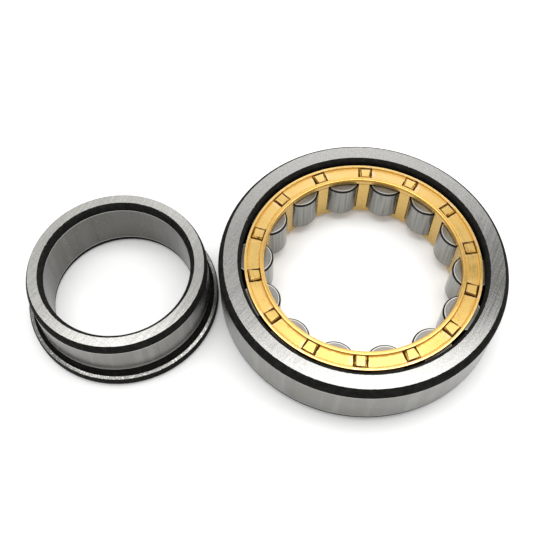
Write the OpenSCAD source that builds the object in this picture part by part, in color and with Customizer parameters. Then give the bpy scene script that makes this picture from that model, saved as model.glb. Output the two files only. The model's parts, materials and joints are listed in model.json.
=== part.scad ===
// Cylindrical roller bearing, taken apart on a bench. The outer ring holds the brass cage and
// its rollers. The inner ring has one flange and stands beside it, flange down.
// Millimetres. +Z is the bearing's axis, and the origin is the outer ring's centre, mid-width.

/* [Boundary sizes] */
// Bore diameter of the inner ring
bore_d = 40; // [38:0.5:42]
// Outside diameter of the outer ring
outside_d = 80; // [79:0.5:84]
// Width of each ring along its axis
ring_w = 18; // [17.5:0.5:20]

/* [Rollers] */
// Number of rollers
roller_count = 14; // [10:1:14]
// Roller diameter
roller_d = 11; // [10.5:0.1:11]
// Roller length
roller_l = 11; // [10:0.25:11.5]
// Radius of the rounded edge at each end of a roller
roller_edge = 0.5; // [0.3:0.1:0.8]
// Angle of the first rivet from +X; the rollers lie halfway between rivets
rivet_phase = 5.9; // [0:0.1:25]

/* [Running gaps] */
// Gap between a roller and each raceway
raceway_gap = 0.03; // [0.02:0.01:0.08]
// Gap between a roller's end and each rib
rib_gap = 0.05; // [0.02:0.01:0.1]
// Gap between a roller's side and its pocket
pocket_gap = 0.12; // [0.08:0.02:0.2]
// Gap between a roller's end and its pocket
pocket_end_gap = 0.15; // [0.1:0.05:0.3]

/* [Outer ring] */
// Bore diameter of the outer ring's two ribs
rib_d = 67.4; // [67:0.1:68]
// Radial size of the rounded outside corner
outside_corner_r = 1.5; // [1:0.1:2]
// Axial size of the rounded outside corner
outside_corner_z = 2.7; // [1:0.1:3]
// Size of the chamfer at the mouth of each rib
rib_mouth = 0.84; // [0.4:0.02:1.2]

/* [Inner ring] */
// Diameter of the inner raceway
inner_race_d = 49.5; // [49:0.1:50]
// Outside diameter of the flange
flange_d = 54; // [53.5:0.1:54.4]
// Radial size of the rounded corner at the bore's open end
bore_corner_r = 1.3; // [0.8:0.1:1.5]
// Radial size of the rounded corner at the bore's flange end
bore_foot_r = 0.6; // [0.4:0.1:1.5]
// Axial size of the rounded corner at each end of the bore
bore_corner_z = 2.1; // [1:0.1:2.5]
// Radial size of the lead-in at the raceway's open end
lead_in_r = 0.86; // [0.5:0.02:1]
// Axial size of the lead-in at the raceway's open end
lead_in_z = 2.6; // [1.5:0.1:3]
// Length of the grinding relief along the raceway, next to the flange
relief_z = 2; // [1:0.1:2.5]
// Height of the grinding relief up the flange's face
relief_r = 1; // [0.6:0.1:1.2]
// Fall of the flange's face from its inner edge to its outer edge
flange_fall = 0.2; // [0.05:0.05:0.4]
// Gap between the two rings, set side by side
bench_gap = 0.6; // [0.6:0.1:20]

/* [Cage] */
// Bore diameter of the cage
cage_bore_d = 54.8; // [54.6:0.1:55.2]
// Outside diameter of the cage
cage_outside_d = 65.8; // [65.4:0.1:66.4]
// Thickness of the cage's end ring, and of its cover
cage_plate = 2; // [1.8:0.1:2.6]
// Width of the rim inside the groove in the cover
cover_inner_rim = 1.1; // [0.9:0.1:1.3]
// Width of the rim outside the groove in the cover
cover_outer_rim = 0.8; // [0.6:0.1:1]
// Depth of the groove in the cover
cover_groove = 0.65; // [0.4:0.05:0.8]
// Bevel on the cage's outer edges
cage_bevel = 0.25; // [0.1:0.05:0.4]

/* [Rivets] */
// Width of a crossbar's tongue, around the cage
tongue_w = 2.2; // [1.6:0.1:2.2]
// Gap around a tongue in its hole
tongue_gap = 0.02; // [0.01:0.01:0.05]
// Width of a rivet head, around the cage
head_w = 3.5; // [2.6:0.1:3.6]
// Height of a rivet head above the groove's floor
head_h = 0.6; // [0.3:0.05:0.7]
// Width of the slope at each end of a rivet head
head_slope = 0.55; // [0.2:0.05:0.6]
// How far a rivet head stands over the cover, along the radius
head_lip = 0.1; // [0.05:0.05:0.2]

/* [Hidden] */
$fn = 144;
outside_r = outside_d / 2;
bore_r = bore_d / 2;
top = ring_w / 2;
inner_race_r = inner_race_d / 2;
flange_r = flange_d / 2;
pitch_r = inner_race_r + raceway_gap + roller_d / 2;
outer_race_r = pitch_r + roller_d / 2 + raceway_gap;
rib_r = rib_d / 2;
// Half the distance between the facing sides of the two ribs
rib_z = roller_l / 2 + rib_gap;
// Centre of the inner ring
inner_x = -(outside_r + bench_gap + flange_r);
step = 360 / roller_count;

cage_bore_r = cage_bore_d / 2;
cage_outside_r = cage_outside_d / 2;
pocket_z = roller_l / 2 + pocket_end_gap;
cage_top = pocket_z + cage_plate;
groove_floor = cage_top - cover_groove;
groove_in = cage_bore_r + cover_inner_rim;
groove_out = cage_outside_r - cover_outer_rim;
rivet_r = (groove_in + groove_out) / 2;
// Radius of the rounded corner along each side of the groove's floor; the heads fit between them
groove_fillet = 0.3;
head_l = groove_out - groove_in - 2 * groove_fillet;
tongue_l = head_l - 2 * head_lip;

// Small edge breaks and the outer ring's grinding reliefs
edge_break = 0.3;
outer_relief = 0.25;
outer_relief_z = 0.9;
flange_foot_z = 1;
flange_foot_r = 0.6;
inner_relief = 0.35;
// How far a cutting shape runs past the face that it cuts
over = 1;

function roller_name(i) = str("roller_", i < 10 ? "0" : "", i);

// Points from p to q along an arc that stands out from their chord by rise, on the left of
// the way from p to q. A negative rise puts it on the right.
function arc(p, q, rise, steps = 6) =
    let (chord = norm(q - p),
         radius = (chord * chord / 4 + rise * rise) / (2 * rise),
         left = [p.y - q.y, q.x - p.x] / chord,
         centre = (p + q) / 2 - left * (radius - rise),
         start = atan2(p.y - centre.y, p.x - centre.x) + (rise < 0 ? 180 : 0),
         turn = 2 * asin(chord / 2 / radius))
    [for (i = [0 : steps]) let (a = start - turn * i / steps)
        centre + radius * [cos(a), sin(a)]];

function mirrored(points) = [for (i = [len(points) - 1 : -1 : 0]) [points[i].x, -points[i].y]];

// Upper half of the outer ring's section, from the raceway round to the outside. The outline
// runs up the bore side, so the outside of the metal is on its left.
outer_half = concat(
    [[outer_race_r, rib_z - outer_relief_z],
     [outer_race_r + outer_relief, rib_z - outer_relief_z / 2],
     [outer_race_r + outer_relief, rib_z],
     [rib_r + edge_break, rib_z],
     [rib_r, rib_z + edge_break]],
    arc([rib_r, top - rib_mouth], [rib_r + rib_mouth, top], 0.12, 4),
    arc([outside_r - outside_corner_r, top], [outside_r, top - outside_corner_z], 0.45));

module outer_ring() {
    color("#8d8c86")
        rotate_extrude() polygon(concat(outer_half, mirrored(outer_half)));
}

// Section of the inner ring about its own axis, with the flange at the bottom
inner_section = concat(
    arc([bore_r, top - bore_corner_z], [bore_r + bore_corner_r, top], 0.35),
    arc([inner_race_r - lead_in_r, top], [inner_race_r, top - lead_in_z], 0.16),
    [[inner_race_r, relief_z - rib_z],
     [inner_race_r - inner_relief, relief_z - rib_z - inner_relief]],
    arc([inner_race_r - inner_relief, edge_break - rib_z],
        [inner_race_r + inner_relief, -rib_z - inner_relief], -0.15, 4),
    [[inner_race_r + relief_r, -rib_z]],
    arc([flange_r - edge_break, -rib_z - flange_fall],
        [flange_r, -rib_z - flange_fall - edge_break], 0.08, 3),
    arc([flange_r, flange_foot_z - top], [flange_r - flange_foot_r, -top], 0.15, 4),
    arc([bore_r + bore_foot_r, -top], [bore_r, bore_corner_z - top], 0.2));

module inner_ring() {
    color("#8d8c86")
        translate([inner_x, 0, 0]) rotate_extrude() polygon(inner_section);
}

// Puts its children at each rivet, or halfway on from it, with +X pointing outwards
module around(offset_steps = 0) {
    for (i = [0 : roller_count - 1])
        rotate([0, 0, rivet_phase + step * (i + offset_steps)]) children();
}

// An upset rivet head: a block whose two ends slope in, across the radius along +X
module rivet_head() {
    top_w = head_w - 2 * head_slope;
    translate([rivet_r - head_l / 2, 0, groove_floor]) rotate([90, 0, 90])
        linear_extrude(head_l) polygon([
            [-head_w / 2, 0], [head_w / 2, 0], [top_w / 2, head_h], [-top_w / 2, head_h]]);
}

// The end ring with its crossbars. Each crossbar ends in a tongue and an upset head.
module cage_body() {
    color("#c79b4b") {
        difference() {
            rotate_extrude() polygon([
                [cage_bore_r, cage_bevel - cage_top], [cage_bore_r, pocket_z],
                [cage_outside_r, pocket_z], [cage_outside_r, cage_bevel - cage_top],
                [cage_outside_r - cage_bevel, -cage_top], [cage_bore_r + cage_bevel, -cage_top]]);
            around(0.5) translate([pitch_r, 0, -pocket_z])
                cylinder(d = roller_d + 2 * pocket_gap, h = 2 * pocket_z + over);
        }
        around() translate([rivet_r - tongue_l / 2, -tongue_w / 2, pocket_z - over])
            cube([tongue_l, tongue_w, over + groove_floor - pocket_z]);
        around() rivet_head();
    }
}

// Section of the cover, with the groove that holds the rivet heads
fillet_rise = -groove_fillet * (1 - sqrt(0.5));
cover_section = concat(
    [[cage_bore_r, pocket_z], [cage_bore_r, cage_top - cage_bevel],
     [cage_bore_r + cage_bevel, cage_top], [groove_in, cage_top]],
    arc([groove_in, groove_floor + groove_fillet],
        [groove_in + groove_fillet, groove_floor], fillet_rise, 4),
    arc([groove_out - groove_fillet, groove_floor],
        [groove_out, groove_floor + groove_fillet], fillet_rise, 4),
    [[groove_out, cage_top], [cage_outside_r - cage_bevel, cage_top],
     [cage_outside_r, cage_top - cage_bevel], [cage_outside_r, pocket_z]]);

// The loose ring that closes the pockets, with a hole for each tongue
module cage_cover() {
    hole_l = tongue_l + 2 * tongue_gap;
    hole_w = tongue_w + 2 * tongue_gap;
    color("#c79b4b") difference() {
        rotate_extrude() polygon(cover_section);
        around() translate([rivet_r - hole_l / 2, -hole_w / 2, pocket_z - over])
            cube([hole_l, hole_w, cage_plate + 2 * over]);
    }
}

// Upper half of a roller's section, from its axis to its side
roller_half = concat(
    [[0, roller_l / 2]],
    arc([roller_d / 2 - roller_edge, roller_l / 2],
        [roller_d / 2, roller_l / 2 - roller_edge], roller_edge * (1 - sqrt(0.5)), 4));

module roller(i) {
    color("#7d7a76")
        rotate([0, 0, rivet_phase + step * (i - 0.5)]) translate([pitch_r, 0, 0])
            rotate_extrude($fn = 72) polygon(concat(roller_half, mirrored(roller_half)));
}

outer_ring();
inner_ring();
cage_body();
cage_cover();
for (i = [1 : roller_count])
    roller(i);
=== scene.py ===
"""Cylindrical roller bearing, taken apart: final meshes, materials, light and camera.

Lengths in the geometry sections are millimetres in the row frame; Blender gets metres.
"""
import json
import math
import random

import bmesh
import bpy
from mathutils import Matrix, Vector


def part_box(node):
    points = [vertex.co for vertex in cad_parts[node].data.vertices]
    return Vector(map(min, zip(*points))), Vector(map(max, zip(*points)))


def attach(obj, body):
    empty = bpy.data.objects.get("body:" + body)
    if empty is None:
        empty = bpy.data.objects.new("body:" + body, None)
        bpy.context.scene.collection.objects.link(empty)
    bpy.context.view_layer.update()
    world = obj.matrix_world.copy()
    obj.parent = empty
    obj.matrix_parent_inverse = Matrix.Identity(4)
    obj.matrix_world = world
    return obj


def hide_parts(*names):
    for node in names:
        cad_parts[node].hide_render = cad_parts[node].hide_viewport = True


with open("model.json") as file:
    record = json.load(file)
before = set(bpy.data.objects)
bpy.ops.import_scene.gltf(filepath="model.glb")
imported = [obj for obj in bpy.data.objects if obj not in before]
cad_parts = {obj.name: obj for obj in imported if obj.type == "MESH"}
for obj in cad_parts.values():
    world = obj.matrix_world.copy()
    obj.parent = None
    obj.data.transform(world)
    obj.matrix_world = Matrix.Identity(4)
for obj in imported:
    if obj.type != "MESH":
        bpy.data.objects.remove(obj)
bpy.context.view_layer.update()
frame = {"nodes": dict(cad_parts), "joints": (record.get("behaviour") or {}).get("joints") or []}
MM = 0.001
rng = random.Random(208)


# ---------------------------------------------------------------- sizes from the frame

def box_mm(node):
    low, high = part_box(node)
    return low / MM, high / MM


def joint_place(name):
    joint = next(j for j in frame["joints"] if j["name"] == name)
    return Vector(joint["pos_m"]) / MM


ORIGIN = Vector((0, 0, 0))
INNER_CENTRE = joint_place("inner_ring_spin")
ROLLERS = sorted(n for n in frame["nodes"] if n.startswith("roller_"))
ROLLER_CENTRES = [joint_place(n + "_spin") for n in ROLLERS]
COUNT = len(ROLLERS)
STEP = 2 * math.pi / COUNT
PITCH_R = ROLLER_CENTRES[0].xy.length
# The first rivet stands half a step before the first roller
RIVET_PHASE = math.atan2(ROLLER_CENTRES[0].y, ROLLER_CENTRES[0].x) - STEP / 2

OUTSIDE_R = box_mm("outer_ring")[1].x
TOP = box_mm("outer_ring")[1].z
FLANGE_R = box_mm("inner_ring")[1].y
CAGE_R = box_mm("cage_cover")[1].y
CAGE_TOP = box_mm("cage_cover")[1].z
POCKET_Z = box_mm("cage_cover")[0].z
HEAD_TOP = box_mm("cage_body")[1].z
ROLLER_L = box_mm(ROLLERS[0])[1].z * 2
ROLLER_R = (box_mm(ROLLERS[0])[1].x - box_mm(ROLLERS[0])[0].x) / 2


# ---------------------------------------------------------------- section sizes

# A corner is (radial, axial). A rise is how far an arc stands out from its chord.
RACEWAY_GAP = 0.03
EDGE_STEPS = 6

OUTER_RACE_R = PITCH_R + ROLLER_R + RACEWAY_GAP
OUTER_RELIEF = (0.25, 0.9)
RIB_R = 33.7
RIB_Z = ROLLER_L / 2 + 0.05
RIB_EDGE = 0.3
RIB_MOUTH = 0.84
RIB_MOUTH_RISE = 0.12
OUTSIDE_CORNER = (1.5, 2.7)
OUTSIDE_RISE = 0.45
OUTER_EDGE_R = 0.12

INNER_RACE_R = PITCH_R - ROLLER_R - RACEWAY_GAP
BORE_R = 20.0
BORE_CORNER = (1.3, 2.1)
BORE_RISE = 0.35
BORE_FOOT = 0.6
BORE_FOOT_RISE = 0.2
LEAD_IN = (0.86, 2.6)
LEAD_IN_RISE = 0.16
INNER_RELIEF = (1.0, 2.0)
UNDERCUT = 0.35
UNDERCUT_TOP = 0.3
UNDERCUT_RISE = 0.15
FLANGE_SHOULDER = (0.25, 0.02)
FLANGE_FALL = 0.2
FLANGE_EDGE = 0.3
FLANGE_EDGE_RISE = 0.08
FLANGE_FOOT = (0.6, 1.0)
FLANGE_FOOT_RISE = 0.15
INNER_EDGE_R = 0.1

ROLLER_EDGE = 0.5
ROLLER_FACE_R = 1.2

CAGE_BORE_R = 27.4
CAGE_EDGE_R = 0.3
POCKET_R = ROLLER_R + 0.12
POCKET_EDGE = 0.12
GROOVE_FLOOR = CAGE_TOP - 0.65
GROOVE_IN = CAGE_BORE_R + 1.1
GROOVE_OUT = CAGE_R - 0.8
GROOVE_FILLET = 0.45
INNER_RIM_EDGE_R = 0.35
OUTER_RIM_EDGE_R = 0.16
RIVET_R = (GROOVE_IN + GROOVE_OUT) / 2
TONGUE_W = 2.2
TONGUE_L = 2.8
TONGUE_GAP = 0.02
# A tongue starts this deep in its crossbar, and ends this far up in its head
TONGUE_ROOT = 0.3
TONGUE_BITE = 0.05

HEAD_W = 3.5
HEAD_L = GROOVE_OUT - GROOVE_IN - 0.5
HEAD_EDGE = 0.07
# Each rivet head draws its own shape from these ranges
HEAD_SLOPE = (0.4, 0.75)
HEAD_DRAFT_IN = (0.05, 0.2)
HEAD_DRAFT_OUT = (0.25, 0.45)
HEAD_FLARE = (0, 0.25)
HEAD_JITTER = 0.07
# Levels of a head: share of its height, and of the way in to its top's outline
HEAD_LEVELS = ((0.0, 0.0), (0.2, 0.05), (0.85, 0.72), (1.0, 1.0))

# A tool reaches this far past the piece that it cuts
CUT_PAST = 1


# ---------------------------------------------------------------- outlines

def arc(p, q, rise, steps=10):
    """Points from p to q on an arc that stands out by rise on the left of the way."""
    p, q = Vector(p), Vector(q)
    chord = (q - p).length
    radius = (chord * chord / 4 + rise * rise) / (2 * rise)
    left = Vector((p.y - q.y, q.x - p.x)) / chord
    centre = (p + q) / 2 - left * (radius - rise)
    start = (p - centre) / radius
    turn = 2 * math.asin(chord / 2 / radius)
    points = []
    for i in range(steps + 1):
        a = -turn * i / steps
        points.append(centre + radius * Vector((
            start.x * math.cos(a) - start.y * math.sin(a),
            start.x * math.sin(a) + start.y * math.cos(a))))
    return points


def quarter_rise(radius):
    """The rise of a quarter circle."""
    return radius * (1 - math.sqrt(0.5))


def rounded(points, radius, steps=3):
    """A closed outline with its corners rounded to about radius, a number or a function."""
    straight = math.radians(20)
    longest = 0.4
    result = []
    count = len(points)
    for i, here in enumerate(points):
        here = Vector(here)
        before = Vector(points[i - 1]) - here
        after = Vector(points[(i + 1) % count]) - here
        bend = math.pi - before.angle(after)
        if bend < straight:
            result.append(here)
            continue
        size = radius(here) if callable(radius) else radius
        reach = min(size * math.tan(bend / 2), longest * before.length, longest * after.length)
        p = here + before.normalized() * reach
        q = here + after.normalized() * reach
        for k in range(steps + 1):
            t = k / steps
            result.append(p * (1 - t) ** 2 + here * 2 * t * (1 - t) + q * t * t)
    return result


def mirrored(points):
    return [Vector((p[0], -p[1])) for p in reversed(points)]


def circle(centre, radius, steps=96):
    return [(centre.x + radius * math.cos(2 * math.pi * i / steps),
             centre.y + radius * math.sin(2 * math.pi * i / steps)) for i in range(steps)]


def rivet_places():
    """A turn for each rivet, which brings +X to point outwards through it."""
    for i in range(COUNT):
        yield Matrix.Rotation(RIVET_PHASE + STEP * i, 4, "Z")


def rectangle(place, half_l, half_w):
    """Outline of an upright rectangular bar at a rivet's place."""
    corners = ((-half_l, -half_w), (half_l, -half_w), (half_l, half_w), (-half_l, half_w))
    return [(place @ Vector((RIVET_R + x, y, 0))).xy for x, y in corners]


# ---------------------------------------------------------------- meshes

def new_object(name, bm):
    """A linked, smooth-shaded object from a bmesh in millimetres."""
    bmesh.ops.recalc_face_normals(bm, faces=bm.faces)
    mesh = bpy.data.meshes.new(name)
    bm.to_mesh(mesh)
    bm.free()
    mesh.transform(Matrix.Scale(MM, 4))
    for face in mesh.polygons:
        face.use_smooth = True
    obj = bpy.data.objects.new(name, mesh)
    bpy.context.scene.collection.objects.link(obj)
    return obj


def lathe(name, section, centre=ORIGIN, steps=288, closed=True):
    """Turns a section of (radius, height) points about a vertical axis at centre.

    A section that isn't closed starts and ends on the axis.
    """
    bm = bmesh.new()
    rings = []
    for i in range(steps):
        a = 2 * math.pi * i / steps
        c, s = math.cos(a), math.sin(a)
        rings.append([bm.verts.new((centre.x + p[0] * c, centre.y + p[0] * s, centre.z + p[1]))
                      for p in section])
    for i in range(steps):
        here, there = rings[i], rings[(i + 1) % steps]
        for k in range(len(section) if closed else len(section) - 1):
            m = (k + 1) % len(section)
            bm.faces.new((here[k], there[k], there[m], here[m]))
    if not closed:
        bmesh.ops.remove_doubles(bm, verts=bm.verts, dist=1e-4)
    return new_object(name, bm)


def add_walls(bm, low, high):
    """Joins two loops of vertices, one above the other."""
    for i in range(len(low)):
        j = (i + 1) % len(low)
        bm.faces.new((low[i], low[j], high[j], high[i]))


def add_prism(bm, outline, z0, z1):
    """Stands a closed outline of (x, y) points up from z0 to z1."""
    low = [bm.verts.new((p[0], p[1], z0)) for p in outline]
    high = [bm.verts.new((p[0], p[1], z1)) for p in outline]
    bm.faces.new(list(reversed(low)))
    bm.faces.new(high)
    add_walls(bm, low, high)


def add_mesh(bm, obj):
    """Moves an object's mesh into bm, in millimetres, and deletes the object."""
    obj.data.transform(Matrix.Scale(1 / MM, 4))
    bm.from_mesh(obj.data)
    bpy.data.objects.remove(obj)


def settle(obj):
    """Applies the object's modifiers to its mesh."""
    bpy.context.view_layer.update()
    graph = bpy.context.evaluated_depsgraph_get()
    mesh = bpy.data.meshes.new_from_object(obj.evaluated_get(graph))
    obj.modifiers.clear()
    old, obj.data = obj.data, mesh
    mesh.name = obj.name
    bpy.data.meshes.remove(old)


def cut(target, tool):
    """Cuts tool out of target for good, and deletes tool."""
    modifier = target.modifiers.new("cut", "BOOLEAN")
    modifier.operation = "DIFFERENCE"
    modifier.solver = "EXACT"
    modifier.object = tool
    settle(target)
    bpy.data.objects.remove(tool)


def soften(obj, width, angle):
    """Rounds the object's edges that are sharper than angle, in degrees."""
    bevel = obj.modifiers.new("bevel", "BEVEL")
    bevel.width = width * MM
    bevel.segments = 2
    bevel.limit_method = "ANGLE"
    bevel.angle_limit = math.radians(angle)
    settle(obj)


def even_shading(obj):
    """Keeps wide faces flat-looking next to their rounded edges."""
    for face in obj.data.polygons:
        face.use_smooth = True
    modifier = obj.modifiers.new("even_shading", "WEIGHTED_NORMAL")
    modifier.weight = 80
    settle(obj)


# ---------------------------------------------------------------- the pieces

def make_outer_ring():
    relief_r = OUTER_RACE_R + OUTER_RELIEF[0]
    half = [(OUTER_RACE_R, RIB_Z - OUTER_RELIEF[1]), (relief_r, RIB_Z - OUTER_RELIEF[1] / 2),
            (relief_r, RIB_Z), (RIB_R + RIB_EDGE, RIB_Z), (RIB_R, RIB_Z + RIB_EDGE)]
    half += arc((RIB_R, TOP - RIB_MOUTH), (RIB_R + RIB_MOUTH, TOP), RIB_MOUTH_RISE, EDGE_STEPS)
    half += arc((OUTSIDE_R - OUTSIDE_CORNER[0], TOP), (OUTSIDE_R, TOP - OUTSIDE_CORNER[1]),
                OUTSIDE_RISE, 2 * EDGE_STEPS)
    section = rounded(half + mirrored(half), OUTER_EDGE_R)
    return lathe("outer_ring_mesh", section, steps=384)


def make_inner_ring():
    race, foot = INNER_RACE_R, -RIB_Z
    shoulder = race + INNER_RELIEF[0]
    rim = foot - FLANGE_FALL
    points = arc((BORE_R, TOP - BORE_CORNER[1]), (BORE_R + BORE_CORNER[0], TOP), BORE_RISE)
    points += arc((race - LEAD_IN[0], TOP), (race, TOP - LEAD_IN[1]), LEAD_IN_RISE)
    points += [(race, foot + INNER_RELIEF[1]),
               (race - UNDERCUT, foot + INNER_RELIEF[1] - UNDERCUT)]
    points += arc((race - UNDERCUT, foot + UNDERCUT_TOP), (race + UNDERCUT, foot - UNDERCUT),
                  -UNDERCUT_RISE, EDGE_STEPS)
    points += [(shoulder, foot), (shoulder + FLANGE_SHOULDER[0], foot - FLANGE_SHOULDER[1])]
    points += arc((FLANGE_R - FLANGE_EDGE, rim), (FLANGE_R, rim - FLANGE_EDGE),
                  FLANGE_EDGE_RISE, 4)
    points += arc((FLANGE_R, FLANGE_FOOT[1] - TOP), (FLANGE_R - FLANGE_FOOT[0], -TOP),
                  FLANGE_FOOT_RISE, EDGE_STEPS)
    points += arc((BORE_R + BORE_FOOT, -TOP), (BORE_R, BORE_CORNER[1] - TOP), BORE_FOOT_RISE)
    return lathe("inner_ring_mesh", rounded(points, INNER_EDGE_R), INNER_CENTRE, 320)


def make_roller(name, centre):
    edge = ROLLER_EDGE
    half = [(0, ROLLER_L / 2), (ROLLER_FACE_R, ROLLER_L / 2)]
    half += arc((ROLLER_R - edge, ROLLER_L / 2), (ROLLER_R, ROLLER_L / 2 - edge),
                quarter_rise(edge), EDGE_STEPS)
    roller = lathe(name, half + mirrored(half), steps=128, closed=False)
    roller.matrix_world = Matrix.Translation(centre * MM)
    return roller


def add_head(bm, place):
    """An upset rivet head: a low block with sloping ends, no two quite alike."""
    half_l, half_w = HEAD_L / 2, HEAD_W / 2
    slope = {-1: rng.uniform(*HEAD_SLOPE), 1: rng.uniform(*HEAD_SLOPE)}
    draft = {-1: rng.uniform(*HEAD_DRAFT_IN), 1: rng.uniform(*HEAD_DRAFT_OUT)}
    flare = rng.uniform(*HEAD_FLARE)
    full = HEAD_TOP - GROOVE_FLOOR
    rows = []
    for height, inward in HEAD_LEVELS:
        row = []
        for sx, sy in ((-1, -1), (1, -1), (1, 1), (-1, 1)):
            jitter = HEAD_JITTER * inward
            x = sx * (half_l - draft[sx] * inward) + rng.uniform(-jitter, jitter)
            y = sy * (half_w - slope[sy] * inward + flare * sx) + rng.uniform(-jitter, jitter)
            z = GROOVE_FLOOR + full * height - rng.uniform(0, jitter)
            row.append(bm.verts.new(place @ Vector((RIVET_R + x, y, z))))
        rows.append(row)
    bm.faces.new(list(reversed(rows[0])))
    bm.faces.new(rows[-1])
    for low, high in zip(rows, rows[1:]):
        add_walls(bm, low, high)


def make_pocketed_ring():
    """The end ring with its crossbars, left between the pockets."""
    blank = rounded([(CAGE_BORE_R, -CAGE_TOP), (CAGE_BORE_R, POCKET_Z),
                     (CAGE_R, POCKET_Z), (CAGE_R, -CAGE_TOP)], CAGE_EDGE_R)
    ring = lathe("pocketed_ring", blank)
    bm = bmesh.new()
    for centre in ROLLER_CENTRES:
        add_prism(bm, circle(centre, POCKET_R), -POCKET_Z, POCKET_Z + CUT_PAST)
    cut(ring, new_object("pockets", bm))
    soften(ring, POCKET_EDGE, angle=35)
    return ring


def make_heads():
    bm = bmesh.new()
    for place in rivet_places():
        add_head(bm, place)
    heads = new_object("heads", bm)
    soften(heads, HEAD_EDGE, angle=20)
    return heads


def make_cage_body():
    bm = bmesh.new()
    add_mesh(bm, make_pocketed_ring())
    add_mesh(bm, make_heads())
    for place in rivet_places():
        add_prism(bm, rectangle(place, TONGUE_L / 2, TONGUE_W / 2), POCKET_Z - TONGUE_ROOT,
                  GROOVE_FLOOR + TONGUE_BITE)
    return new_object("cage_body_mesh", bm)


def make_cage_cover():
    fillet = GROOVE_FILLET
    rise = -quarter_rise(fillet)
    section = rounded(
        [(CAGE_BORE_R, POCKET_Z), (CAGE_BORE_R, CAGE_TOP), (GROOVE_IN, CAGE_TOP)]
        + arc((GROOVE_IN, GROOVE_FLOOR + fillet), (GROOVE_IN + fillet, GROOVE_FLOOR), rise,
              EDGE_STEPS)
        + arc((GROOVE_OUT - fillet, GROOVE_FLOOR), (GROOVE_OUT, GROOVE_FLOOR + fillet), rise,
              EDGE_STEPS)
        + [(GROOVE_OUT, CAGE_TOP), (CAGE_R, CAGE_TOP), (CAGE_R, POCKET_Z)],
        lambda corner: INNER_RIM_EDGE_R if corner.x < RIVET_R else OUTER_RIM_EDGE_R)
    cover = lathe("cage_cover_mesh", section)
    bm = bmesh.new()
    for place in rivet_places():
        outline = rectangle(place, TONGUE_L / 2 + TONGUE_GAP, TONGUE_W / 2 + TONGUE_GAP)
        add_prism(bm, outline, POCKET_Z - CUT_PAST, CAGE_TOP + CUT_PAST)
    cut(cover, new_object("tongue_holes", bm))
    return cover


# ---------------------------------------------------------------- node helpers

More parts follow.
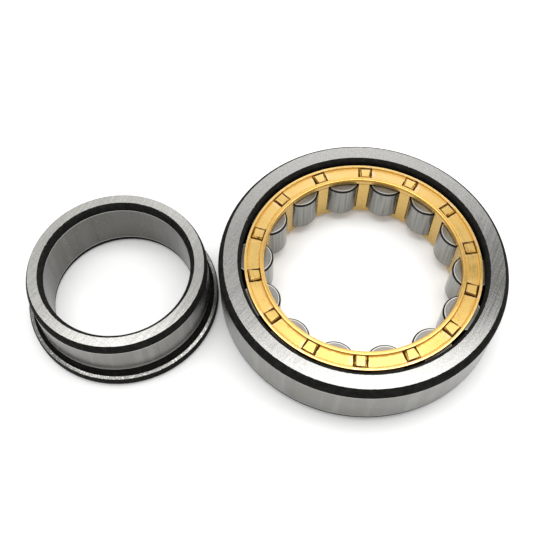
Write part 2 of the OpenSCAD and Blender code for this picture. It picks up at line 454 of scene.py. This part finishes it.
class Shader:
    """Short calls that build the node tree of one material or world."""

    def __init__(self, owner):
        owner.use_nodes = True
        self.owner = owner
        self.tree = owner.node_tree
        self.tree.nodes.clear()

    def node(self, kind, inputs=None, **settings):
        made = self.tree.nodes.new(kind)
        for key, value in settings.items():
            setattr(made, key, value)
        for key, value in (inputs or {}).items():
            self.feed(made.inputs[key], value)
        return made

    def feed(self, socket, value):
        if isinstance(value, bpy.types.NodeSocket):
            self.tree.links.new(value, socket)
        else:
            socket.default_value = value

    def math(self, operation, a, b=0.0, clamp=False):
        return self.node("ShaderNodeMath", {0: a, 1: b}, operation=operation,
                         use_clamp=clamp).outputs[0]

    def product(self, *values):
        result = values[0]
        for value in values[1:]:
            result = self.math("MULTIPLY", result, value)
        return result

    def largest(self, *values):
        result = values[0]
        for value in values[1:]:
            result = self.math("MAXIMUM", result, value)
        return result

    def ramp(self, value, low, high, out_low=0.0, out_high=1.0):
        """value mapped smoothly from low..high to out_low..out_high."""
        return self.node("ShaderNodeMapRange", {"Value": value, "From Min": low, "From Max": high,
                                                "To Min": out_low, "To Max": out_high},
                         interpolation_type="SMOOTHSTEP").outputs[0]

    def band(self, value, low, high, soft=0.04):
        """1 where value lies from low to high, and 0 outside."""
        return self.product(self.ramp(value, low - soft, low + soft),
                            self.ramp(value, high - soft, high + soft, 1.0, 0.0))

    def vector(self, x, y, z):
        return self.node("ShaderNodeCombineXYZ", {0: x, 1: y, 2: z}).outputs[0]

    def split(self, vector):
        return self.node("ShaderNodeSeparateXYZ", {0: vector}).outputs

    def noise(self, vector, scale=1.0, detail=3.0, roughness=0.55):
        return self.node("ShaderNodeTexNoise", {"Vector": vector, "Scale": scale, "Detail": detail,
                                                "Roughness": roughness}).outputs["Fac"]

    def mix(self, factor, a, b):
        """A number that goes from a to b."""
        made = self.node("ShaderNodeMix", data_type="FLOAT")
        for index, value in ((0, factor), (2, a), (3, b)):
            self.feed(made.inputs[index], value)
        return made.outputs[0]

    def blend(self, factor, a, b):
        """A colour that goes from a to b."""
        made = self.node("ShaderNodeMix", data_type="RGBA")
        for index, value in ((0, factor), (6, a), (7, b)):
            self.feed(made.inputs[index], value)
        return made.outputs[2]

    def paint(self, colour, *coats):
        """Lays each (mask, share, tint) over the colour in turn."""
        for mask, share, tint in coats:
            colour = self.blend(self.product(mask, share), colour, tint)
        return colour

    def polar(self, x, y):
        """Distance from a vertical axis, and the cosine and sine of the way to it."""
        flat = self.vector(x, y, 0.0)
        radius = self.node("ShaderNodeVectorMath", {0: flat}, operation="LENGTH").outputs["Value"]
        unit = self.node("ShaderNodeVectorMath", {0: flat}, operation="NORMALIZE").outputs[0]
        turn = self.split(unit)
        return radius, turn[0], turn[1]

    def around(self, centre):
        """Millimetre coordinates about a vertical axis: x, y, z, radius, and a unit direction."""
        source = self.node("ShaderNodeTexCoord").outputs["Object"]
        moved = self.node("ShaderNodeMapping", {"Vector": source, "Location": -centre,
                                                "Scale": (1 / MM,) * 3}).outputs[0]
        x, y, z = self.split(moved)
        radius, cos, sin = self.polar(x, y)
        return {"x": x, "y": y, "z": z, "r": radius, "cos": cos, "sin": sin, "place": moved}

    def upward(self):
        """How far the surface faces up or down, from 0 to 1."""
        normal = self.node("ShaderNodeNewGeometry").outputs["Normal"]
        return self.math("ABSOLUTE", self.split(normal)[2])

    def streaks(self, cos, sin, along, slow, fast, detail=2.0):
        """Noise in thin lines around an axis: it changes fast with along and slowly around."""
        vector = self.vector(self.product(cos, slow), self.product(sin, slow),
                             self.product(along, fast))
        return self.noise(vector, 1.0, detail)

    def arcs(self, at, centre_x, centre_y, slow, fast):
        """Scratches on wide circles round a point beside the part."""
        dx = self.math("SUBTRACT", at["x"], centre_x)
        dy = self.math("SUBTRACT", at["y"], centre_y)
        far, cos, sin = self.polar(dx, dy)
        return self.streaks(cos, sin, far, slow, fast)

    def finish(self, colour, metallic, roughness, height, depth, aniso=0.0, ior=1.5,
               glow=0.0, coat=0.0):
        """Ends the material in a Principled shader with a bump of depth millimetres."""
        bump = self.node("ShaderNodeBump", {"Height": height, "Strength": 1.0,
                                            "Distance": depth * MM})
        surface = self.node("ShaderNodeBsdfPrincipled", {
            "Base Color": colour, "Metallic": metallic, "Roughness": roughness, "IOR": ior,
            "Normal": bump.outputs[0], "Coat Weight": coat, "Coat Roughness": 0.1,
            "Coat IOR": 1.7, "Emission Color": (1, 1, 1, 1), "Emission Strength": glow})
        if aniso:
            # Turned a quarter, the highlight is drawn out across the lines of turning
            tangent = self.node("ShaderNodeTangent", direction_type="RADIAL", axis="Z")
            self.feed(surface.inputs["Anisotropic"], aniso)
            self.feed(surface.inputs["Anisotropic Rotation"], 0.25)
            self.feed(surface.inputs["Tangent"], tangent.outputs[0])
        self.node("ShaderNodeOutputMaterial", {"Surface": surface.outputs[0]})
        return self.owner


# ---------------------------------------------------------------- steel

OUTER_FACE_STEEL = (0.41, 0.405, 0.39, 1)
INNER_FACE_STEEL = (0.435, 0.43, 0.41, 1)
OUTER_BARREL_STEEL = (0.22, 0.217, 0.204, 1)
INNER_BARREL_STEEL = (0.195, 0.192, 0.181, 1)
BRIGHT_STEEL = (0.58, 0.57, 0.54, 1)
SATIN_STEEL = (0.33, 0.325, 0.305, 1)
# Painted shade inside the bore
BORE_SHADE_STEEL = (0.05, 0.05, 0.046, 1)
BLACK_SCALE = (0.010, 0.010, 0.009, 1)
ROLLER_STEEL = (0.25, 0.247, 0.23, 1)
ROLLER_END_STEEL = (0.20, 0.195, 0.18, 1)
ROLLER_STAIN = (0.22, 0.185, 0.16, 1)
# Painted highlight round the rim of a roller's end
ROLLER_RIM_HIGHLIGHT = (0.55, 0.535, 0.51, 1)
WARM_CAST = (0.9, 0.87, 0.78)

# Grinding reaches this far in from a surface, and leaves scale round the outer ring's mouth
GROUND_T = 0.12
MOUTH_SCALE = 0.12
# Nicks in the black scale lie this close to the ground steel
NICK_REACH = 0.22
# Width of the painted highlight at each ground cylinder's ends
PAINTED_HIGHLIGHT_W = 0.2


def shaded(colour, share):
    """The colour made lighter or darker."""
    return tuple(share * c for c in colour[:3]) + (1,)


def warmed(colour):
    return tuple(c * share for c, share in zip(colour, WARM_CAST)) + (1,)


def face_colour(s, at, steel, hatch, marks):
    """A ground face: crossed grinding marks, fine grit and a few deeper scratches."""
    grit = s.noise(at["place"], 2.6, 2.0)
    scratch = s.ramp(s.arcs(at, 60.0, -210.0, 9.0, 5.0), 0.68, 0.74)
    tone = s.blend(s.ramp(marks, 0.34, 0.66), shaded(steel, 1 - hatch), shaded(steel, 1 + hatch))
    tone = s.blend(s.ramp(grit, 0.35, 0.6, 0.3, 0.0), tone, shaded(steel, 0.7))
    tone = s.blend(s.ramp(grit, 0.6, 0.75, 0.0, 0.5), tone, BRIGHT_STEEL)
    tone = s.paint(tone, (scratch, 0.4, shaded(steel, 1.3)))
    # A face low down between the raceway and the bench gets painted shade: darker, with bright
    # nicks
    low = s.band(at["z"], -RIB_Z - 1, 0.5 - RIB_Z)
    low_shade = s.blend(s.ramp(grit, 0.55, 0.68), shaded(steel, 0.36), steel)
    return s.blend(low, tone, low_shade)


def barrel_colour(s, at, steel, lines, blotch):
    """A ground cylinder: fine lines around it, soft painted reflections in bars along it and a
    warm cast in places.
    """
    reflection_bars = s.streaks(at["cos"], at["sin"], at["z"], 11.0, 0.02, 3.0)
    tone = s.blend(s.ramp(lines, 0.35, 0.65), shaded(steel, 0.9), shaded(steel, 1.08))
    # Painted reflections: light and dark bars along the cylinder
    tone = s.blend(s.ramp(reflection_bars, 0.5, 0.7, 0.0, 0.7), tone, shaded(steel, 1.4))
    tone = s.blend(s.ramp(reflection_bars, 0.3, 0.44, 0.6, 0.0), tone, shaded(steel, 0.6))
    tone = s.blend(s.ramp(blotch, 0.35, 0.7, 0.0, 0.6), tone, warmed(steel))
    # The bore gets painted shade, darker than the raceway and the outside
    bore = s.ramp(at["r"], BORE_R + 0.5, BORE_R + 1.0, 0.45, 0.0)
    return s.blend(bore, tone, BORE_SHADE_STEEL)


def ring_material(name, centre, steel, barrel_steel, hatch, faces, cylinders):
    """Blackened steel, ground bright on the given (r low, r high, z low, z high) stretches."""
    s = Shader(bpy.data.materials.new(name))
    at = s.around(centre)
    waver = s.ramp(s.noise(at["place"], 0.9, 4.0), 0.3, 0.7, -0.03, 0.03)
    r = s.math("ADD", at["r"], waver)
    z = s.math("ADD", at["z"], waver)

    def stretches(bounds, grow=0.0, shorten=0.0):
        return s.largest(*[
            s.product(s.band(r, r0 - grow, r1 + grow),
                      s.band(z, z0 - grow + shorten, z1 + grow - shorten))
            for r0, r1, z0, z1 in bounds])

    face = stretches(faces)
    barrel = stretches(cylinders)
    bright = s.largest(face, barrel)
    nick = s.product(s.ramp(s.noise(at["place"], 1.7, 5.0, 0.7), 0.64, 0.7),
                     stretches(faces + cylinders, grow=NICK_REACH))
    # Each cylinder's ends get a painted highlight, a little brighter
    painted_end_highlight = s.math("SUBTRACT", barrel, stretches(cylinders, shorten=PAINTED_HIGHLIGHT_W), clamp=True)
    # The inner raceway is satin near the flange
    foot = s.product(s.band(at["r"], INNER_RACE_R - 0.3, INNER_RACE_R + 0.1),
                     s.ramp(at["z"], 1.2 - RIB_Z, 4.2 - RIB_Z, 1.0, 0.0))

    # Grinding marks: wide crossed arcs on the faces, fine lines around the cylinders
    sweep = s.arcs(at, -150.0, 95.0, 14.0, 2.6)
    cross = s.arcs(at, 120.0, 140.0, 14.0, 3.4)
    marks = s.math("ADD", s.product(sweep, 0.7), s.product(cross, 0.3))
    lines = s.streaks(at["cos"], at["sin"], at["z"], 5.0, 9.0, 3.0)
    blotch = s.noise(at["place"], 0.16, 3.0)

    cylinder_tone = s.paint(barrel_colour(s, at, barrel_steel, lines, blotch),
                            (foot, 1.0, SATIN_STEEL), (painted_end_highlight, 0.8, BRIGHT_STEEL))
    black = s.blend(s.ramp(s.noise(at["place"], 0.7, 5.0), 0.35, 0.75), BLACK_SCALE,
                    shaded(BLACK_SCALE, 1.8))
    colour = s.blend(barrel, black, cylinder_tone)
    colour = s.blend(face, colour, face_colour(s, at, steel, hatch, marks))
    colour = s.paint(colour, (nick, 0.8, BRIGHT_STEEL))

    metal = s.math("SUBTRACT", s.largest(bright, nick), s.product(foot, 0.5), clamp=True)
    smooth = s.mix(face, s.ramp(lines, 0.3, 0.7, 0.18, 0.26),
                   s.ramp(marks, 0.35, 0.65, 0.21, 0.26))
    rough = s.mix(bright, s.ramp(blotch, 0.3, 0.7, 0.32, 0.44), s.mix(foot, smooth, 0.4))
    height = s.mix(barrel, s.noise(at["place"], 3.0, 4.0), s.product(lines, 0.3))
    height = s.mix(face, height, s.product(marks, 0.5))
    return s.finish(colour, metal, rough, height, 0.003, aniso=0.6, ior=1.04)


def roller_material(name):
    """Ground steel: sides with painted reflections in dark bars, a stained end with a painted
    highlight round its rim, and a dark rounded corner.
    """
    s = Shader(bpy.data.materials.new(name))
    at = s.around(ORIGIN)
    height = s.math("ABSOLUTE", at["z"])
    end = s.ramp(height, ROLLER_L / 2 - 0.04, ROLLER_L / 2 - 0.02)
    # A painted highlight round the rim of the end
    rim_highlight = s.band(at["r"], ROLLER_R - ROLLER_EDGE - 0.2, ROLLER_R - ROLLER_EDGE, 0.03)
    corner = s.product(s.ramp(height, ROLLER_L / 2 - ROLLER_EDGE, ROLLER_L / 2 - 0.45),
                       s.ramp(at["r"], ROLLER_R - ROLLER_EDGE, ROLLER_R - 0.42))
    lines = s.streaks(at["cos"], at["sin"], at["z"], 4.0, 7.0, 3.0)
    reflection_bars = s.streaks(at["cos"], at["sin"], at["z"], 9.0, 0.06, 2.0)
    swirl = s.streaks(at["cos"], at["sin"], at["r"], 3.0, 6.0, 3.0)
    blotch = s.noise(at["place"], 0.3, 3.0)

    side_tone = s.blend(s.ramp(lines, 0.35, 0.65), ROLLER_STEEL, shaded(ROLLER_STEEL, 1.1))
    # Painted reflections: dark bars along the side
    side_tone = s.blend(s.ramp(reflection_bars, 0.42, 0.66, 0.0, 0.8), side_tone, shaded(ROLLER_STEEL, 0.62))
    end_tone = s.blend(s.ramp(swirl, 0.35, 0.65), ROLLER_END_STEEL, shaded(ROLLER_END_STEEL, 1.2))
    end_tone = s.blend(s.ramp(blotch, 0.4, 0.7, 0.0, 0.5), end_tone, ROLLER_STAIN)
    colour = s.paint(s.blend(end, side_tone, end_tone), (rim_highlight, end, ROLLER_RIM_HIGHLIGHT),
                     (corner, 0.95, BLACK_SCALE))
    rough = s.mix(end, s.ramp(lines, 0.3, 0.7, 0.13, 0.2), s.ramp(swirl, 0.3, 0.7, 0.3, 0.42))
    bumps = s.mix(end, s.product(lines, 0.25), swirl)
    return s.finish(colour, 1.0, rough, bumps, 0.002, aniso=0.4)


# ---------------------------------------------------------------- brass

BRASS = (0.77, 0.50, 0.13, 1)
BRASS_TAN = (0.72, 0.44, 0.13, 1)
BRASS_PALE = (0.78, 0.54, 0.19, 1)
BRASS_STAIN = (0.70, 0.40, 0.22, 1)
BRASS_SMEAR = (0.86, 0.60, 0.38, 1)
BRASS_SPECK = (0.28, 0.15, 0.04, 1)
# Painted shade on upright faces
BRASS_UPRIGHT_SHADE = (0.5, 0.345, 0.13, 1)
BRASS_INNER_RIM = (0.64, 0.40, 0.12, 1)
BRASS_WALL = (0.56, 0.29, 0.05, 1)
BRASS_RIM_LINE = (0.36, 0.16, 0.02, 1)
# Painted shade, nearly black, on the outer flank
BRASS_FLANK_SHADE = (0.05, 0.025, 0.008, 1)
# Painted shade on the heads' slopes, deeper patches of it, and a painted dark line of shade at
# each crown
HEAD_SLOPE_SHADE = (0.62, 0.30, 0.045, 1)
HEAD_DEEP_SLOPE_SHADE = (0.13, 0.055, 0.008, 1)
HEAD_CROWN_SHADE = (0.10, 0.04, 0.006, 1)
# A dark band painted round each head's foot
HEAD_FOOT_DARK = (0.02, 0.007, 0.001, 1)


def rivet_edge(s, at):
    """How far a place lies outside the nearest rivet head's outline; less than 0 inside."""
    angle = s.math("ARCTAN2", at["y"], at["x"])
    # Two extra turns keep the angle above 0, as the modulo needs
    cell = s.math("ADD", s.math("SUBTRACT", angle, RIVET_PHASE), STEP / 2 + 4 * math.pi)
    local = s.math("SUBTRACT", s.math("MODULO", cell, STEP), STEP / 2)
    across = s.math("ABSOLUTE", s.product(s.math("SINE", local), at["r"]))
    outward = s.product(s.math("COSINE", local), at["r"])
    out = s.math("ABSOLUTE", s.math("SUBTRACT", outward, RIVET_R))
    return s.largest(s.math("SUBTRACT", across, HEAD_W / 2), s.math("SUBTRACT", out, HEAD_L / 2))


def brass_masks(s, at, up):
    """Where each kind of wear and dirt, and each painted shade, lies on the cage, as numbers from
    0 to 1.
    """
    z = at["z"]
    wander = s.ramp(s.noise(at["place"], 1.1, 3.0), 0.3, 0.7, -0.06, 0.06)
    edge = s.math("ADD", rivet_edge(s, at), wander)
    topside = s.ramp(z, GROOVE_FLOOR - 0.3, GROOVE_FLOOR - 0.1)
    foot = s.ramp(z, GROOVE_FLOOR + 0.12, GROOVE_FLOOR + 0.34, 1.0, 0.0)
    patchy = s.ramp(s.noise(at["place"], 0.5, 2.0), 0.5, 0.62)
    # A head's crown meets its slopes in a painted dark line of shade, and the slopes get browner
    # painted shade
    head = s.product(s.ramp(edge, 0.15, 0.3, 1.0, 0.0),
                     s.ramp(z, GROOVE_FLOOR + 0.03, GROOVE_FLOOR + 0.1))
    slope = s.product(head, s.ramp(up, 0.85, 0.97, 1.0, 0.0))
    # How far a place lies beyond the groove's walls
    beyond = s.largest(s.math("SUBTRACT", GROOVE_IN, at["r"]),
                       s.math("SUBTRACT", at["r"], GROOVE_OUT))
    beyond = s.math("ADD", beyond, s.product(wander, 2.0))
    wall = s.product(s.ramp(beyond, -0.65, -0.3),
                     s.band(z, GROOVE_FLOOR - 0.1, CAGE_TOP - 0.08, 0.05))
    return {
        # A dark band painted round each head's foot
        "crevice": s.product(s.band(edge, -0.36, 0.28, 0.06), topside, foot),
        "smear": s.product(s.band(edge, 0.1, 1.1, 0.4), topside, patchy),
        "slope": slope,
        # Patches of deeper painted shade on the slopes
        "deep_slope_shade": s.product(slope, s.ramp(s.noise(at["place"], 0.5, 1.0), 0.44, 0.56)),
        # A painted dark line of shade where the crown meets the slopes
        "crown_shade": s.product(head, s.band(up, 0.82, 0.965, 0.02),
                            s.ramp(z, HEAD_TOP - 0.3, HEAD_TOP - 0.2)),
        "wall": wall,
        "rim_line": s.product(wall, s.ramp(z, CAGE_TOP - 0.35, CAGE_TOP - 0.2)),
        "inner_rim": s.product(s.ramp(at["r"], GROOVE_IN - 0.15, GROOVE_IN, 1.0, 0.0),
                               s.ramp(z, CAGE_TOP - 0.6, CAGE_TOP - 0.3)),
        # The outer side, which faces the outer ring's rib, gets painted shade, nearly black
        "flank_shade": s.product(s.ramp(at["r"], CAGE_R - 0.2, CAGE_R - 0.1),
                           s.ramp(s.math("ABSOLUTE", z), CAGE_TOP - 0.25, CAGE_TOP - 0.12,
                                  1.0, 0.0)),
        # Upright faces get painted shade
        "upright_shade": s.ramp(up, 0.3, 0.6, 1.0, 0.0),
        "stain": s.ramp(s.noise(at["place"], 0.34, 2.0), 0.6, 0.72),
        "speck": s.ramp(s.noise(at["place"], 2.3, 2.0), 0.7, 0.76),
    }


def brass_material(name):
    """Turned brass: fine rings on flat faces, soft stains, a dark band painted round each rivet
    head's foot, and painted shade on slopes and upright faces.
    """
    s = Shader(bpy.data.materials.new(name))
    at = s.around(ORIGIN)
    up = s.upward()
    mask = brass_masks(s, at, up)
    rings = s.streaks(at["cos"], at["sin"], at["r"], 2.5, 7.0, 3.0)
    lines = s.streaks(at["cos"], at["sin"], at["z"], 30.0, 1.2, 3.0)
    grain = s.mix(s.ramp(up, 0.5, 0.8), lines, rings)
    blotch = s.noise(at["place"], 0.22, 4.0)
    wide = s.noise(at["place"], 0.07, 2.0)

    colour = s.blend(s.ramp(grain, 0.35, 0.65), shaded(BRASS, 0.97), shaded(BRASS, 1.03))
    colour = s.blend(s.ramp(blotch, 0.38, 0.68, 0.0, 0.5), colour, BRASS_TAN)
    colour = s.blend(s.ramp(wide, 0.4, 0.65, 0.0, 0.4), colour, BRASS_PALE)
    # Stains, smears and specks are wear; upright faces, the outer flank, the heads' slopes and
    # crown lines get painted shade; a dark band is painted round each head's foot
    colour = s.paint(
        colour, (mask["stain"], 0.35, BRASS_STAIN), (mask["smear"], 0.6, BRASS_SMEAR),
        (mask["speck"], 0.4, BRASS_SPECK), (mask["upright_shade"], 0.6, BRASS_UPRIGHT_SHADE),
        (mask["inner_rim"], 0.7, BRASS_INNER_RIM), (mask["wall"], 0.85, BRASS_WALL),
        (mask["rim_line"], 0.5, BRASS_RIM_LINE), (mask["flank_shade"], 0.9, BRASS_FLANK_SHADE),
        (mask["slope"], 0.85, HEAD_SLOPE_SHADE), (mask["deep_slope_shade"], 0.85, HEAD_DEEP_SLOPE_SHADE),
        (mask["crown_shade"], 0.9, HEAD_CROWN_SHADE), (mask["crevice"], 0.98, HEAD_FOOT_DARK))
    rough = s.ramp(s.math("ADD", s.product(blotch, 0.7), s.product(grain, 0.3)),
                   0.3, 0.7, 0.24, 0.32)
    height = s.math("ADD", s.product(grain, 0.35), s.product(blotch, 0.65))
    # Painted shade on the slopes, tarnish on the groove walls and the dark band round the heads'
    # feet scatter light, and carry no film of oil
    tarnish_and_shade = s.largest(mask["slope"], mask["wall"], mask["crevice"])
    metal = s.ramp(tarnish_and_shade, 0.0, 1.0, 1.0, 0.2)
    dry = s.largest(tarnish_and_shade, mask["flank_shade"], mask["inner_rim"], mask["upright_shade"])
    oil = s.ramp(dry, 0.0, 1.0, 0.9, 0.0)
    return s.finish(colour, metal, rough, height, 0.003, aniso=0.4, ior=1.1, coat=oil)


# ---------------------------------------------------------------- the bearing

def place_piece(obj, body, slot, material, *nodes):
    obj.data.materials.clear()
    obj.data.materials.append(material)
    even_shading(obj)
    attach(obj, body)
    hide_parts(*nodes)


def outer_ring_steel():
    face = (RIB_R + RIB_MOUTH + MOUTH_SCALE, OUTSIDE_R - OUTSIDE_CORNER[0])
    barrel_z = TOP - OUTSIDE_CORNER[1]
    race_z = RIB_Z - OUTER_RELIEF[1]
    return ring_material(
        "outer_ring_steel", ORIGIN, OUTER_FACE_STEEL, OUTER_BARREL_STEEL, 0.035,
        faces=[(*face, TOP - GROUND_T, TOP + 1), (*face, -TOP - 1, GROUND_T - TOP)],
        cylinders=[(OUTSIDE_R - GROUND_T, OUTSIDE_R + 1, -barrel_z, barrel_z),
                   (OUTER_RACE_R - GROUND_T, OUTER_RACE_R + GROUND_T, -race_z, race_z)])


def inner_ring_steel():
    bore_z = TOP - BORE_CORNER[1]
    return ring_material(
        "inner_ring_steel", INNER_CENTRE, INNER_FACE_STEEL, INNER_BARREL_STEEL, 0.08,
        faces=[(BORE_R + BORE_CORNER[0], INNER_RACE_R - LEAD_IN[0], TOP - GROUND_T, TOP + 1),
               (BORE_R + BORE_FOOT, FLANGE_R - FLANGE_FOOT[0], -TOP - 1, GROUND_T - TOP),
               (INNER_RACE_R + INNER_RELIEF[0] + 0.15, FLANGE_R - 0.25,
                -RIB_Z - FLANGE_FALL - GROUND_T, GROUND_T - RIB_Z)],
        cylinders=[(BORE_R - 1, BORE_R + GROUND_T, -bore_z, bore_z),
                   (INNER_RACE_R - GROUND_T, INNER_RACE_R + GROUND_T,
                    INNER_RELIEF[1] - RIB_Z, TOP - LEAD_IN[1])])


place_piece(make_outer_ring(), "outer_ring", "outer_ring", outer_ring_steel(), "outer_ring")
place_piece(make_inner_ring(), "inner_ring", "inner_ring", inner_ring_steel(), "inner_ring")

brass = brass_material("cage_brass")
place_piece(make_cage_body(), "cage", "cage", brass, "cage_body")
place_piece(make_cage_cover(), "cage", "cage", brass, "cage_cover")

roller_steel = roller_material("roller_steel")
for node, middle in zip(ROLLERS, ROLLER_CENTRES):
    place_piece(make_roller(node + "_mesh", middle), node, "roller", roller_steel, node)


# ---------------------------------------------------------------- floor, light, camera

FLOOR_HALF = 2500
FLOOR_LOW = (0.86, 0.862, 0.862, 1)
FLOOR_HIGH = (0.88, 0.88, 0.878, 1)

# Metres; radiance is in watts per square metre and steradian
SOFTBOX_AT = (0.03, 0.035, 0.40)
SOFTBOX_SIZE = (0.55, 0.20)
SOFTBOX_RADIANCE = 3.7

# The camera stands over a point between the rings, a little to the left of straight ahead
LOOK_AT = Vector((-23.95, 6.0, -TOP)) * MM
CAMERA_DISTANCE = 0.238
CAMERA_ELEVATION = math.radians(59.87)
CAMERA_HEADING = math.radians(3.35)
CAMERA_ROLL = math.radians(0.77)
CAMERA_LENS = 52.6


def floor_material():
    s = Shader(bpy.data.materials.new("pale_floor"))
    place = s.node("ShaderNodeTexCoord").outputs["Object"]
    tone = s.blend(s.ramp(s.noise(place, 60.0, 3.0), 0.3, 0.7), FLOOR_LOW, FLOOR_HIGH)
    # A faint glow keeps the shadows on it pale
    return s.finish(tone, 0.0, 0.75, s.noise(place, 400.0, 3.0), 0.01, ior=1.2, glow=0.13)


def make_floor():
    bm = bmesh.new()
    corners = [bm.verts.new((FLOOR_HALF * x, FLOOR_HALF * y, -TOP))
               for x, y in ((-1, -1), (1, -1), (1, 1), (-1, 1))]
    bm.faces.new(corners)
    floor = new_object("floor", bm)
    floor.data.materials.append(floor_material())


def make_camera():
    level = Vector((math.sin(CAMERA_HEADING), math.cos(CAMERA_HEADING), 0))
    forward = level * math.cos(CAMERA_ELEVATION) - Vector((0, 0, math.sin(CAMERA_ELEVATION)))
    side = forward.cross(Vector((0, 0, 1))).normalized()
    up = side.cross(forward)
    right = side * math.cos(CAMERA_ROLL) + up * math.sin(CAMERA_ROLL)
    up = up * math.cos(CAMERA_ROLL) - side * math.sin(CAMERA_ROLL)
    data = bpy.data.cameras.new("camera")
    data.lens = CAMERA_LENS
    data.sensor_width = 36
    data.clip_start = 0.01
    data.clip_end = 20
    camera = bpy.data.objects.new("camera", data)
    turn = Matrix((right, up, -forward)).transposed().to_4x4()
    camera.matrix_world = Matrix.Translation(LOOK_AT - forward * CAMERA_DISTANCE) @ turn
    bpy.context.scene.collection.objects.link(camera)
    bpy.context.scene.camera = camera


def make_softbox():
    """A level rectangular soft light over the bearing."""
    data = bpy.data.lights.new("overhead", "AREA")
    data.shape = "RECTANGLE"
    data.size, data.size_y = SOFTBOX_SIZE
    data.energy = SOFTBOX_RADIANCE * math.pi * SOFTBOX_SIZE[0] * SOFTBOX_SIZE[1]
    light = bpy.data.objects.new("overhead", data)
    light.location = SOFTBOX_AT
    bpy.context.scene.collection.objects.link(light)


def make_world():
    """A pale tent, dimmer in front of the bearing, with a shadow where the camera stands."""
    world = bpy.data.worlds.new("tent")
    s = Shader(world)
    direction = s.split(s.node("ShaderNodeTexCoord").outputs["Generated"])
    # Place on a ceiling one unit up
    height = s.math("MAXIMUM", direction[2], 0.05)
    across = s.math("DIVIDE", direction[0], height)
    back = s.math("DIVIDE", direction[1], height)
    # Brighter far back on the right, and a little brighter near on the left
    glow = s.product(s.ramp(back, 0.62, 0.8), s.ramp(across, -0.3, 0.0, 0.0, 0.95))
    left = s.product(s.ramp(across, -0.09, -0.04, 1.0, 0.0), s.ramp(back, 0.6, 0.7, 0.25, 0.0))
    front = s.ramp(s.band(back, -3.0, -0.4, 0.2), 0.0, 1.0, 1.0, 0.6)
    shadow = s.product(s.band(across, -0.06, 1.2, 0.06), s.band(back, 0.4, 0.7, 0.12),
                       s.ramp(across, 0.0, 0.45, 0.6, 1.0))
    tone = s.math("ADD", s.math("ADD", 0.9, glow), left)
    tone = s.product(tone, front, s.ramp(shadow, 0.0, 1.0, 1.0, 0.1))
    background = s.node("ShaderNodeBackground", {"Color": (1.0, 1.0, 0.99, 1), "Strength": tone})
    s.node("ShaderNodeOutputWorld", {"Surface": background.outputs[0]})
    bpy.context.scene.world = world


make_floor()
make_world()
make_softbox()
make_camera()
bpy.context.scene.view_settings.view_transform = "Standard"
